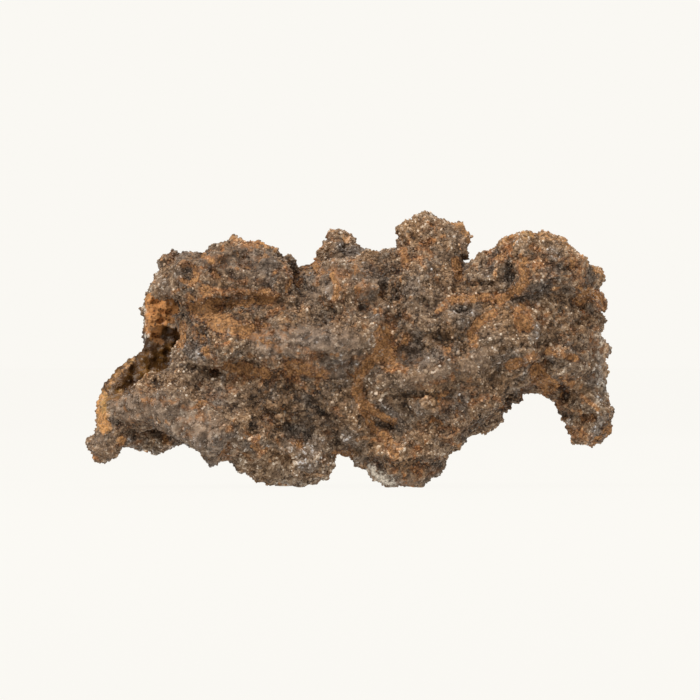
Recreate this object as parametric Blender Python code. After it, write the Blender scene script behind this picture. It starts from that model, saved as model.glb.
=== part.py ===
"""Fulgurite: a crumpled tube of sand that lightning fused to glass, lying on its side.

The tube's walls, folds and knobs are chains of balls along short curved paths. They are fused
into one skin, hollowed along the lightning channel, roughened and brought down to a light solid.

Frame: +Z up, +X along the tube, the open mouth of the tube at -X and its best side facing -Y.
The origin lies on the surface that it rests on, under the middle of its box.
Paths are in millimetres, as (x, y, z, radius); everything that is built is in metres.
"""

import bmesh
import bpy
from mathutils import Matrix, Vector
from mathutils.bvhtree import BVHTree

MM = 0.001

# How closely the balls of a chain follow each other, as a share of their radius.
BALL_SPACING = 0.3
BALL_SUBDIVISIONS = 2

# The skin: size of the voxels that fuse it, and how much it is rounded and roughened.
SKIN_VOXEL = 0.45 * MM
FOLD_ROUNDING = 2
LUMP_SIZE = 3.2 * MM
LUMP_HEIGHT = 3.2 * MM
CRUMB_SIZE = 1.5 * MM
CRUMB_HEIGHT = 1.9 * MM
ROUGH_MIDDLE = 0.48
KEPT_FACES = 0.09

# The feet are worn flat where the tube rests.
FLOOR_BLOCK = 80 * MM

# The thick middle of the tube and the two ends of its wall.
TUBE = {
    "trunk": [
        (-14.6, 1.0, 14.5, 7.2),
        (-8.0, 0.5, 13.5, 8.8),
        (1.0, 0.0, 13.0, 9.4),
        (11.0, 0.0, 14.5, 9.2),
        (19.0, 0.5, 18.0, 7.4),
        (24.0, 1.0, 18.5, 5.4),
    ],
    "far_wall_of_mouth": [
        (-20.6, 3.4, 22.2, 2.0),
        (-21.3, 4.4, 19.8, 2.3),
        (-21.2, 5.2, 16.8, 2.4),
        (-21.8, 5.0, 14.0, 2.3),
        (-25.0, 3.7, 12.0, 2.2),
        (-26.8, 1.7, 9.7, 2.2),
        (-26.3, -0.5, 7.3, 2.0),
    ],
    "outer_wall_behind": [
        (-16.6, 6.0, 20.0, 3.6),
        (-17.6, 7.0, 13.5, 4.0),
        (-20.5, 4.5, 8.8, 3.2),
    ],
    "inner_wall_of_mouth": [(-16.0, -4.4, 11.6, 3.2), (-12.6, -5.0, 10.8, 3.4)],
    "floor_of_mouth": [
        (-26.0, -0.5, 8.0, 2.0),
        (-21.0, 0.5, 8.0, 2.8),
        (-14.0, 0.5, 7.8, 4.2),
    ],
    "right_wall": [
        (24.2, 2.2, 21.5, 3.6),
        (24.6, 1.6, 17.2, 3.9),
        (25.7, 1.2, 12.8, 3.9),
    ],
    "leg": [
        (25.8, 0.4, 12.0, 3.6),
        (26.9, 0.2, 9.2, 2.9),
        (27.4, 0.4, 7.2, 2.5),
    ],
    "wall_behind_the_cleft": [
        (10.0, 5.0, 9.0, 3.4),
        (13.2, 5.4, 8.2, 2.7),
        (15.4, 5.4, 8.6, 2.4),
        (17.8, 4.8, 12.2, 2.3),
        (20.6, 4.0, 14.0, 2.6),
    ],
}

# Folds and knobs of the side that faces -Y, from the mouth to the leg.
FRONT_FOLDS = {
    "shoulder": [
        (-19.2, -2.6, 24.5, 2.4),
        (-17.2, -4.2, 23.8, 3.0),
        (-14.6, -5.4, 24.0, 3.2),
        (-12.2, -5.0, 24.1, 3.7),
        (-9.4, -5.6, 23.4, 3.6),
        (-7.4, -4.2, 22.8, 2.6),
    ],
    "shoulder_lip": [(-20.2, -4.0, 22.6, 1.7), (-17.4, -5.4, 21.4, 2.0)],
    "shoulder_knob": [(-14.4, -6.6, 22.8, 1.8), (-13.2, -7.2, 22.2, 1.4)],
    "crevice_bridge": [(-8.4, 0.6, 21.4, 3.0), (-5.2, 1.4, 21.7, 2.7), (-3.0, 1.0, 22.6, 2.7)],
    "slope_under_shoulder": [
        (-16.6, -4.4, 18.4, 2.4),
        (-13.4, -6.2, 18.6, 2.9),
        (-9.0, -6.4, 18.8, 3.0),
        (-5.0, -6.4, 18.8, 3.1),
    ],
    "near_wall_of_mouth": [
        (-16.2, -4.8, 19.5, 2.3),
        (-15.6, -5.6, 16.6, 2.6),
        (-17.6, -5.8, 13.2, 2.6),
        (-21.6, -5.2, 10.3, 2.2),
    ],
    "front_band": [
        (-15.6, -6.4, 14.8, 2.6),
        (-12.6, -7.6, 16.2, 2.7),
        (-9.6, -8.6, 15.4, 2.5),
        (-6.0, -8.4, 16.2, 3.1),
        (-3.0, -9.0, 15.4, 2.6),
        (-0.4, -8.8, 17.0, 2.8),
        (2.4, -7.6, 18.8, 2.4),
    ],
    "lower_lip": [
        (-26.6, -2.6, 8.8, 1.8),
        (-23.2, -5.0, 9.1, 2.3),
        (-20.4, -6.8, 9.4, 2.3),
        (-18.0, -7.2, 7.6, 3.0),
        (-14.6, -7.6, 7.2, 3.1),
        (-12.2, -6.2, 7.0, 3.2),
    ],
    "lower_lip_drop": [(-15.4, -6.6, 5.8, 2.3), (-15.3, -6.2, 3.8, 1.9)],
    "skirt": [(-25.0, -0.8, 6.3, 1.6), (-21.6, -1.2, 5.5, 1.8), (-18.4, -1.6, 6.9, 1.8)],
    "mouth_bulb": [(-26.2, -2.6, 5.6, 1.6), (-27.5, -3.0, 5.1, 1.9)],
    "front_ridge": [
        (-3.0, -6.4, 22.9, 2.4),
        (-0.8, -7.6, 22.8, 2.9),
        (1.4, -7.0, 22.2, 2.6),
    ],
    "knob_neck": [(8.8, 0.2, 26.0, 3.5), (9.0, -1.6, 21.0, 5.4)],
    "knob": [
        (7.8, -0.4, 28.2, 2.2),
        (9.0, -0.8, 28.5, 2.4),
        (11.2, -0.8, 28.0, 2.0),
        (12.6, -0.8, 28.2, 1.9),
    ],
    "knob_saddle": [(2.5, -2.0, 23.9, 2.8), (5.4, -2.4, 24.0, 2.7)],
    "below_the_knob": [(7.6, -5.6, 22.6, 2.8), (8.8, -6.6, 19.4, 3.2), (10.8, -7.4, 17.4, 2.6)],
    "right_lobe": [
        (14.8, -3.2, 22.5, 2.9),
        (18.2, -4.0, 24.0, 3.4),
        (20.8, -4.4, 24.8, 3.9),
        (22.6, -4.0, 24.6, 3.7),
        (24.6, -3.4, 24.0, 2.7),
        (26.6, -2.6, 23.4, 2.0),
    ],
    "right_nub": [(25.0, 2.6, 20.8, 2.4), (28.1, 2.8, 20.9, 1.6)],
    "middle_ridge": [
        (6.0, -8.0, 12.4, 2.0),
        (9.2, -8.8, 13.8, 2.2),
        (12.2, -8.0, 13.4, 2.4),
        (15.6, -7.4, 15.6, 2.4),
        (19.5, -5.8, 17.5, 2.4),
    ],
    "cleft_lip": [
        (9.5, -5.4, 9.4, 3.6),
        (12.2, -5.2, 9.4, 3.2),
        (14.8, -4.8, 10.6, 2.6),
    ],
    "arch": [(15.6, -3.2, 14.2, 2.9), (20.0, -2.8, 15.4, 2.9), (24.2, -2.4, 14.6, 3.1)],
}

# The two low bellies that the tube rests on, and the feet behind them.
BELLIES = {
    "left_belly": [(-10.8, -3.0, 4.5, 3.3), (-7.6, -3.6, 4.2, 3.3), (-4.7, -3.2, 3.35, 3.4)],
    "right_belly": [(2.6, -2.8, 6.3, 3.1), (6.4, -3.0, 4.15, 4.2), (9.0, -3.2, 6.8, 3.5)],
    "left_heel": [(-9.5, 5.0, 5.0, 3.6), (-7.0, 5.4, 3.45, 3.3)],
    "right_heel": [(4.0, 5.0, 6.2, 3.6), (6.6, 5.0, 3.5, 3.5)],
}

# Folds of the side that faces +Y.
BACK_FOLDS = {
    "back_knob": [(-2.3, 4.4, 25.2, 1.8), (-1.5, 4.8, 27.1, 2.0), (-0.5, 4.6, 25.6, 1.7)],
    "back_crest": [
        (-12.0, 5.0, 22.0, 3.4),
        (-4.5, 5.6, 21.4, 3.2),
        (3.0, 4.6, 23.8, 3.0),
        (10.0, 5.4, 21.6, 3.6),
        (17.5, 5.6, 21.5, 3.2),
    ],
    "back_spine": [
        (-17.0, 8.0, 11.5, 2.8),
        (-10.0, 8.8, 14.0, 3.0),
        (-3.0, 8.6, 17.4, 3.0),
        (3.0, 7.8, 19.2, 2.6),
    ],
    "back_wing": [
        (0.5, 8.4, 9.0, 2.8),
        (6.0, 9.0, 11.6, 3.1),
        (11.5, 8.6, 15.2, 3.0),
        (17.5, 7.0, 17.2, 3.0),
    ],
    "back_boss": [(-10.5, 7.2, 8.2, 3.0), (-6.5, 8.2, 8.4, 2.8)],
    "back_shoulder": [(21.0, 5.6, 20.5, 3.2), (23.6, 4.6, 18.0, 3.0), (24.2, 4.2, 13.6, 3.0)],
}

# The lightning channel, its mouth, and the cleft that opens it downwards beside the leg.
HOLLOWS = {
    "channel": [
        (-24.0, 0.7, 15.0, 3.2),
        (-20.0, 0.8, 14.9, 3.7),
        (-16.0, 0.9, 14.6, 3.7),
        (-11.0, 1.0, 14.0, 3.4),
        (-4.0, 0.8, 13.8, 3.2),
        (6.0, 0.9, 13.6, 3.1),
        (14.0, 1.0, 13.6, 3.0),
        (20.0, 1.2, 16.2, 2.7),
        (26.0, 1.4, 17.0, 2.7),
        (33.0, 1.6, 17.0, 3.0),
    ],
    "mouth_top": [(-23.2, -13.0, 18.0, 4.4), (-23.2, -1.2, 18.0, 4.4)],
    "mouth_middle": [(-24.6, -13.0, 15.6, 4.2), (-24.4, -1.4, 15.4, 4.2)],
    "mouth_foot": [(-27.8, -13.0, 14.8, 4.0), (-27.8, -2.2, 14.8, 4.0)],
    "mouth_trough": [(-29.4, -1.0, 11.6, 2.3), (-24.6, -0.4, 11.6, 2.8), (-20.6, 0.2, 12.7, 3.4)],
    "cleft": [(14.0, 0.9, 12.0, 1.9), (15.2, 0.9, 8.0, 1.8), (15.8, 0.9, 3.0, 2.1)],
    "arch_beside_the_cleft": [(19.9, -8.0, 8.9, 2.3), (19.9, 9.0, 8.9, 2.3)],
    "arch_beside_the_leg": [(21.3, -8.0, 8.5, 2.8), (21.3, 9.0, 8.5, 2.8)],
}

# Grooves and pits of the side that faces -Y, as (x, z, radius): each ball of a groove is centred
# just in front of the skin behind (x, z), by GROOVE_LIFT of its radius.
GROOVES = {
    "under_the_shoulder": [(-15.4, 20.5, 0.8), (-11.0, 20.2, 1.1), (-6.8, 20.4, 1.0)],
    "crevice": [(-5.8, 24.2, 0.9), (-6.0, 23.4, 1.2), (-6.2, 22.2, 1.0)],
    "shoulder_pit": [(-18.2, 24.7, 0.7), (-18.0, 23.9, 0.8)],
    "upper_recess": [(2.8, 24.4, 0.8), (5.4, 24.5, 1.0)],
    "slit_beside_the_knob": [(12.3, 25.4, 0.9), (12.4, 23.9, 0.9), (12.2, 22.6, 0.8)],
    "lobe_recess": [(17.4, 25.0, 0.9), (17.9, 24.2, 1.2), (18.1, 23.2, 0.9)],
    "lobe_groove": [(13.2, 22.0, 0.8), (16.4, 21.9, 1.1), (20.0, 21.2, 0.8)],
    "middle_recess": [(6.0, 15.8, 1.1), (6.9, 14.9, 1.4), (7.8, 14.4, 1.0)],
    "upper_middle_pit": [(9.6, 16.9, 1.0), (10.6, 16.5, 1.2)],
    "stem_of_the_fork": [(4.2, 17.4, 0.8), (3.2, 13.8, 1.1), (1.2, 11.0, 1.1), (1.5, 9.9, 1.0)],
    "right_tine": [(1.5, 9.9, 1.0), (3.2, 8.2, 0.9), (4.6, 7.0, 0.9)],
    "left_tine": [(1.5, 9.9, 1.0), (2.6, 6.4, 0.9), (5.0, 3.8, 0.8)],
    "belly_pit": [(-10.9, 7.3, 1.1), (-10.5, 6.7, 1.2)],
    "pit_above_the_leg": [(24.0, 11.4, 0.8), (24.4, 10.4, 0.9)],
    "pits_of_the_lobe": [(12.5, 20.1, 0.9), (12.8, 19.8, 0.9)],
    "pits_of_the_lip": [(-15.2, 12.9, 0.9), (-14.8, 12.6, 0.9)],
}
GROOVE_LIFT = 0.1


def between(four, t):
    """The Catmull-Rom curve's value between the middle two of four knots, with t from 0 to 1."""
    before, start, end, after = four
    return 0.5 * (
        2 * start
        + (end - before) * t
        + (2 * before - 5 * start + 4 * end - after) * t**2
        + (3 * start - 3 * end + after - before) * t**3
    )


def balls_along(path):
    """Centre and radius, in metres, of the balls that follow one path."""
    knots = [Vector(knot) * MM for knot in path]
    knots = [2 * knots[0] - knots[1], *knots, 2 * knots[-1] - knots[-2]]
    balls = []
    for four in zip(knots, knots[1:], knots[2:], knots[3:]):
        start, end = four[1], four[2]
        gap = BALL_SPACING * min(start.w, end.w)
        steps = max(1, round((end - start).xyz.length / gap))
        balls += [between(four, step / steps) for step in range(steps)]
    balls.append(knots[-2])
    return [(ball.xyz, ball.w) for ball in balls]


def fused_chains(name, *families):
    """One object that holds the balls of every path, fused into one skin."""
    shape = bmesh.new()
    for family in families:
        for path in family.values():
            for centre, radius in balls_along(path):
                bmesh.ops.create_icosphere(
                    shape,
                    subdivisions=BALL_SUBDIVISIONS,
                    radius=radius,
                    matrix=Matrix.Translation(centre),
                )
    mesh = bpy.data.meshes.new(name)
    shape.to_mesh(mesh)
    shape.free()
    obj = bpy.data.objects.new(name, mesh)
    bpy.context.scene.collection.objects.link(obj)
    add_skin(obj, "fuse")
    return obj


def laid_on_the_front(grooves, obj):
    """The grooves as paths of balls on the skin of the side that faces -Y."""
    skin = BVHTree.FromObject(obj, bpy.context.evaluated_depsgraph_get())
    paths = {}
    for name, knots in grooves.items():
        path = []
        for x, z, radius in knots:
            place = skin.ray_cast(Vector((x, -40, z)) * MM, Vector((0, 1, 0)))[0]
            path.append((x, place.y / MM - GROOVE_LIFT * radius, z, radius))
        paths[name] = path
    return paths


def add_skin(obj, name):
    skin = obj.modifiers.new(name, "REMESH")
    skin.mode = "VOXEL"
    skin.voxel_size = SKIN_VOXEL
    skin.use_smooth_shade = True


def add_rounding(obj, name, rounds):
    rounding = obj.modifiers.new(name, "SMOOTH")
    rounding.factor = 0.5
    rounding.iterations = rounds


def add_roughness(obj, name, size, height):
    """Pushes the skin in and out by up to half the height, in clouds of the given size."""
    clouds = bpy.data.textures.new(name, "CLOUDS")
    clouds.noise_scale = size
    clouds.noise_depth = 1
    rough = obj.modifiers.new(name, "DISPLACE")
    rough.texture = clouds
    rough.texture_coords = "LOCAL"
    rough.strength = height
    rough.mid_level = ROUGH_MIDDLE


def cut_away(obj, name, cutter):
    cut = obj.modifiers.new(name, "BOOLEAN")
    cut.operation = "DIFFERENCE"
    cut.object = cutter
    cutter.hide_render = True
    cutter.display_type = "WIRE"


def floor_block():
    """A block whose top face is the surface that the feet are worn flat on."""
    shape = bmesh.new()
    bmesh.ops.create_cube(
        shape, size=FLOOR_BLOCK, matrix=Matrix.Translation((0, 0, -FLOOR_BLOCK / 2))
    )
    mesh = bpy.data.meshes.new("floor_block")
    shape.to_mesh(mesh)
    shape.free()
    obj = bpy.data.objects.new("floor_block", mesh)
    bpy.context.scene.collection.objects.link(obj)
    return obj


def centre_over_origin(obj):
    """Moves the object so that the middle of its box is over the origin."""
    bpy.context.view_layer.update()
    evaluated = obj.evaluated_get(bpy.context.evaluated_depsgraph_get())
    corners = [obj.matrix_world @ Vector(corner) for corner in evaluated.bound_box]
    for axis in (0, 1):
        reach = [corner[axis] for corner in corners]
        obj.location[axis] -= (min(reach) + max(reach)) / 2


def sandy_glass():
    material = bpy.data.materials.new("sandy_glass")
    material.use_nodes = True
    finish = material.node_tree.nodes["Principled BSDF"]
    finish.inputs["Base Color"].default_value = (0.17, 0.11, 0.065, 1)
    finish.inputs["Roughness"].default_value = 0.75
    finish.inputs["Metallic"].default_value = 0
    return material


def fulgurite():
    tube = fused_chains("fulgurite", TUBE, FRONT_FOLDS, BELLIES, BACK_FOLDS)
    channel = fused_chains("lightning_channel", HOLLOWS)
    cut_away(tube, "hollow", channel)
    add_rounding(tube, "worn_folds", FOLD_ROUNDING)
    add_roughness(tube, "lumps", LUMP_SIZE, LUMP_HEIGHT)
    add_skin(tube, "fuse_lumps")
    grooves = fused_chains("grooves", laid_on_the_front(GROOVES, tube))
    cut_away(tube, "groove", grooves)
    add_roughness(tube, "crumbs", CRUMB_SIZE, CRUMB_HEIGHT)
    add_skin(tube, "fuse_crumbs")
    add_rounding(tube, "worn_crumbs", 1)
    lighter = tube.modifiers.new("lighter", "DECIMATE")
    lighter.ratio = KEPT_FACES
    cut_away(tube, "worn_feet", floor_block())
    centre_over_origin(tube)
    tube.data.materials.append(sandy_glass())
    return tube


for leftover in list(bpy.data.objects):
    bpy.data.objects.remove(leftover)
fulgurite()
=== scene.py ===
import math

import bmesh
import bpy
import numpy as np
from mathutils import Euler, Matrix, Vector
from mathutils.bvhtree import BVHTree
from mathutils.kdtree import KDTree


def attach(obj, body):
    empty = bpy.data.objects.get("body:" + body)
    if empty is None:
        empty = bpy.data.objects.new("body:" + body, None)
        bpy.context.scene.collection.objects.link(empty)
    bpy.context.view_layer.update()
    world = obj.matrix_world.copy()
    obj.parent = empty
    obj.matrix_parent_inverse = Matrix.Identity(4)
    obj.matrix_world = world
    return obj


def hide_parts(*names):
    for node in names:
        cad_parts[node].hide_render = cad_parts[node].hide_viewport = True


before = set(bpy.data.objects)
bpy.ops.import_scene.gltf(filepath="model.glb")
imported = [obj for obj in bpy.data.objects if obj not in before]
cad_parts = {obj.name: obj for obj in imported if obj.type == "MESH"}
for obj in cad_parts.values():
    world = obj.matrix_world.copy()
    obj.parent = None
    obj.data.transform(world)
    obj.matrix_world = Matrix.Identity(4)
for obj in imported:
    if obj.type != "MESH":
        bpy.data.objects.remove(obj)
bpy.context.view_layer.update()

mm = 0.001
scene = bpy.context.scene
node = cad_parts["fulgurite"]


def linked(name, data):
    obj = bpy.data.objects.new(name, data)
    scene.collection.objects.link(obj)
    return obj


def finished(obj, name):
    # the object's mesh with all its modifiers applied, as a fresh mesh
    bpy.context.view_layer.update()
    evaluated = obj.evaluated_get(bpy.context.evaluated_depsgraph_get())
    mesh = bpy.data.meshes.new_from_object(evaluated)
    mesh.name = name
    bpy.data.objects.remove(obj)
    return mesh


def pointsOf(mesh):
    places = np.empty(len(mesh.vertices) * 3, np.float32)
    mesh.vertices.foreach_get("co", places)
    return places.reshape(-1, 3).astype(float)


def normalsOf(mesh):
    normals = np.empty(len(mesh.vertices) * 3, np.float32)
    mesh.vertex_normals.foreach_get("vector", normals)
    return normals.reshape(-1, 3).astype(float)


def setPoints(mesh, places):
    mesh.vertices.foreach_set("co", places.astype(np.float32).ravel())
    mesh.update()


def edgesOf(mesh):
    edges = np.empty(len(mesh.edges) * 2, np.int32)
    mesh.edges.foreach_get("vertices", edges)
    return edges.reshape(-1, 2)


def setValues(mesh, name, values):
    layer = mesh.attributes.new(name, "FLOAT", "POINT")
    layer.data.foreach_set("value", values.astype(np.float32))


def spread(values, edges, rounds):
    # each vertex takes the mean of itself and its neighbours
    values = values.copy()
    count = np.bincount(edges.ravel(), minlength=len(values)) + 1.0
    for _ in range(rounds):
        total = values.copy()
        for column in range(values.shape[1]):
            total[:, column] += np.bincount(edges[:, 0], values[edges[:, 1], column], len(values))
            total[:, column] += np.bincount(edges[:, 1], values[edges[:, 0], column], len(values))
        values = total / count[:, None]
    return values


def rise(values, low, high):
    t = np.clip((values - low) / (high - low), 0, 1)
    return t * t * (3 - 2 * t)


def addVoxels(obj, size):
    voxels = obj.modifiers.new("voxels", "REMESH")
    voxels.mode = "VOXEL"
    voxels.voxel_size = size


def addSmoothing(obj, rounds):
    smoothing = obj.modifiers.new("smoothing", "SMOOTH")
    smoothing.factor = 0.5
    smoothing.iterations = rounds


def addRelief(obj, name, kind, size, height, middle=0.5, depth=2):
    pattern = bpy.data.textures.new(name, kind)
    pattern.noise_scale = size
    if kind == "CLOUDS":
        pattern.noise_depth = depth
    relief = obj.modifiers.new(name, "DISPLACE")
    relief.texture = pattern
    relief.texture_coords = "LOCAL"
    relief.strength = height
    relief.mid_level = middle


# a grid seen from the front, for the lines and spots that are marked on it
gridStep = 0.1134 * mm
gridOrigin = (350.3, 487.0)  # the step under the object's middle, and that of the floor


def onFront(across, down):
    return (across - gridOrigin[0]) * gridStep, (gridOrigin[1] - down) * gridStep


def stepsOf(places):
    return places[:, 0] / gridStep + gridOrigin[0], gridOrigin[1] - places[:, 2] / gridStep


def stepsFrom(places, line):
    # how far each place lies from a marked line or spot, in steps, seen from the front
    across, down = stepsOf(places)
    best = np.full(len(places), 1e9)
    for start, end in zip(line, line[1:] or line):
        start, end = np.array(start, float), np.array(end, float)
        along = end - start
        t = ((across - start[0]) * along[0] + (down - start[1]) * along[1]) / max(along @ along, 1e-9)
        t = np.clip(t, 0, 1)
        best = np.minimum(best, np.hypot(across - start[0] - t * along[0], down - start[1] - t * along[1]))
    return best


def marked(places, strokes, soft):
    # the strongest of the marks at each place, in front
    total = np.zeros(len(places))
    for halfWidth, strength, line in strokes:
        share = 1 - rise(stepsFrom(places, line) / halfWidth, 1 - soft, 1 + soft)
        total = np.where(share * abs(strength) > abs(total), share * strength, total)
    return total


# the crust is the tube's skin, made from its solid's own shape
crustValues = {
    "coarseVoxel": 0.33 * mm,
    "facetSmoothing": 5,
    "lumpSize": 1.9 * mm,
    "lumpHeight": 0.85 * mm,
    "crumbSize": 0.8 * mm,
    "crumbHeight": 0.5 * mm,
    "knobs": 2600,
    "knobReach": (0.35 * mm, 1.0 * mm),
    "knobHeight": 0.34,
    "pits": 1900,
    "pitReach": (0.3 * mm, 0.8 * mm),
    "pitDepth": 0.5,
    "creaseWidening": 1.35,
    "spotWidening": 1.4,
    "namedPitDepth": 0.8,
    "fineVoxel": 0.215 * mm,
    "clodSize": 0.62 * mm,
    "clodHeight": 0.34 * mm,
    "clodMiddle": 0.3,
    "gritSize": 0.3 * mm,
    "gritHeight": 0.16 * mm,
    "cuts": (-9.0 * mm, 10.5 * mm),
    "mouthEnd": -17.0 * mm,
    "sandyExit": 26 * mm,
    "wallSmoothing": 30,
    "wallSmoothingShare": 0.8,
    "frothPits": 60,
    "frothReach": (0.3 * mm, 0.5 * mm),
    "frothDepth": 0.55,
    "beads": 170,
    "beadReach": (0.3 * mm, 0.55 * mm),
    "beadHeight": 0.3,
    "seed": 11,
}

# the lightning channel's middle line, in mm, as x, y, z and radius
channel = [
    (-30.0, -0.6, 13.6, 5.6), (-25.4, 0.0, 14.8, 5.4), (-20.5, 0.8, 15.6, 4.9),
    (-16.0, 0.9, 14.6, 3.9), (-11.0, 1.0, 14.0, 3.5), (-4.0, 0.8, 13.8, 3.3),
    (6.0, 0.9, 13.6, 3.2), (14.0, 1.0, 13.6, 3.1), (20.0, 1.2, 16.2, 2.9),
    (26.0, 1.4, 17.0, 2.8), (33.0, 1.6, 17.0, 2.8),
]

# crevices and ledge edges on the front, as half width in steps, depth in mm (below 0 is raised), and line
creases = [
    (5, 0.45, [(212, 305), (228, 302), (245, 304), (262, 301), (283, 304), (300, 311)]),
    (5, 1.3, [(291, 262), (297, 275), (304, 290), (301, 302)]),
    (4, 0.8, [(470, 285), (490, 285), (506, 279)]), (4, 0.5, [(509, 268), (509, 284)]),
    (4, 0.7, [(461, 264), (460, 275), (455, 290)]), (4, 0.5, [(370, 268), (385, 272), (400, 270)]),
    (6, 0.7, [(430, 336), (450, 344)]), (7, 0.3, [(400, 352), (418, 358)]),
    (3, 0.5, [(372, 424), (388, 429)]),
    (5, 0.4, [(232, 363), (260, 367), (290, 362), (322, 357), (346, 350)]),
    (4, 0.9, [(236, 440), (224, 456)]), (4, 0.8, [(196, 368), (216, 374)]),
    (4, 0.4, [(112, 424), (150, 426), (188, 446)]), (4, 0.8, [(572, 300), (588, 312), (574, 326)]),
    (3, 0.5, [(352, 322), (354, 345), (350, 372), (352, 402)]),
    (4, 0.4, [(528, 298), (544, 296), (560, 300)]),
    (3, 0.6, [(180, 300), (186, 318), (196, 334), (192, 352)]),
    (3, 0.5, [(240, 262), (258, 270), (276, 266)]), (3, 0.5, [(205, 268), (222, 276)]),
    (4, 0.6, [(420, 300), (436, 316), (438, 330)]), (4, 0.6, [(500, 350), (530, 346), (556, 342)]),
    (3, 0.5, [(255, 420), (280, 412), (300, 398)]), (4, 0.7, [(560, 412), (575, 420), (592, 418)]),
    (3, 0.5, [(385, 400), (410, 392), (436, 396)]), (2, -0.35, [(354, 332), (364, 318), (380, 305)]),
    (6, -0.5, [(402, 378), (430, 374), (455, 362), (492, 350)]),
    (4, -0.4, [(232, 345), (262, 340), (300, 342), (336, 338)]),
    (4, -0.4, [(205, 296), (240, 292), (280, 294)]), (3, -0.4, [(360, 402), (374, 413), (393, 421)]),
    (4, -0.35, [(470, 296), (500, 300), (522, 288)]), (4, -0.4, [(508, 366), (530, 357), (572, 354)]),
    (3, -0.4, [(300, 378), (330, 384), (350, 380)]),
    (9, 1.5, [(479, 433), (496, 425), (508, 412), (516, 402)]),
    (3, 0.5, [(222, 262), (236, 254), (250, 262)]), (3, 0.5, [(170, 262), (180, 254)]),
    (3, 0.5, [(412, 236), (426, 246), (440, 240)]), (3, 0.5, [(545, 262), (562, 270), (580, 266)]),
    (3, 0.5, [(420, 410), (436, 420), (440, 434)]), (3, 0.5, [(270, 452), (290, 460), (312, 456)]),
    (3, 0.5, [(532, 316), (548, 326), (566, 324)]), (3, 0.45, [(330, 310), (345, 322), (340, 336)]),
]

# pits on the front, as across, down, reach in mm and depth in mm
namedPits = [
    (189, 267, 0.8, 1.5), (190, 275, 0.8, 1.7), (462, 311, 0.8, 1.2),
    (483, 333, 0.75, 0.9), (562, 387, 0.6, 1.0), (564, 395, 0.6, 1.0),
    (217, 374, 0.7, 1.0), (166, 396, 0.55, 0.9), (192, 369, 0.6, 0.8),
    (305, 437, 0.8, 0.9), (255, 425, 1.2, 1.0), (387, 425, 1.0, 1.1),
    (365, 307, 0.8, 1.0), (593, 350, 0.6, 0.8), (228, 301, 0.45, 0.9),
    (218, 305, 0.45, 0.9), (260, 301, 0.45, 0.8), (178, 288, 0.6, 1.0),
    (408, 353, 1.2, 0.8), (441, 340, 1.0, 0.8), (120, 391, 0.5, 0.8),
    (362, 351, 0.45, 0.8), (509, 276, 0.8, 0.9), (481, 373, 0.6, 0.6),
    (401, 441, 0.5, 0.6), (448, 428, 0.6, 0.7), (330, 352, 0.5, 0.5),
    (540, 330, 0.5, 0.6), (572, 268, 0.5, 0.5), (430, 240, 0.5, 0.5),
]

# round bubbles in the glass of the mouth, as across, down, reach in mm and height in mm
bubbles = [
    (130, 366, 0.3, 0.3), (136, 382, 0.3, 0.35), (147, 376, 0.3, 0.3), (152, 357, 0.3, 0.35),
    (163, 350, 0.3, 0.35), (120, 374, 0.3, 0.3), (170, 348, 0.25, 0.3), (146, 352, 0.3, -0.4),
    (126, 377, 0.42, 0.5), (140, 377, 0.45, 0.5), (172, 341, 0.5, 0.5), (142, 360, 0.4, 0.4),
    (150, 368, 0.35, -0.5), (162, 321, 0.4, -0.8), (157, 302, 0.45, -0.6), (166, 352, 0.5, -0.6),
    (134, 371, 0.5, -0.5), (155, 336, 0.35, -0.5), (168, 330, 0.5, -0.5),
]

# the bubbly rust-coloured wall inside the mouth, as half width in steps, strength, and the line
rustStrokes = [
    (12, 1.0, [(161, 303), (158, 316)]), (8, 0.85, [(155, 324), (153, 331)]),
    (5, 0.9, [(150, 298), (149, 326)]), (4, 0.5, [(152, 338), (160, 342)]),
]

# lumps and dents on the rim of the channel's small far exit, as x, y, z, reach and height, all in mm
exitLumps = [
    (29, 3.9, 18.4, 1.7, 1.1), (29, -0.9, 18.6, 1.3, 0.8), (29, -0.6, 15.4, 1.8, 0.9),
    (28.5, 3.0, 14.6, 1.2, -0.8), (29, 1.4, 19.8, 1.2, -0.7), (27, 4.0, 17.0, 1.5, 0.6),
]

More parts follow.
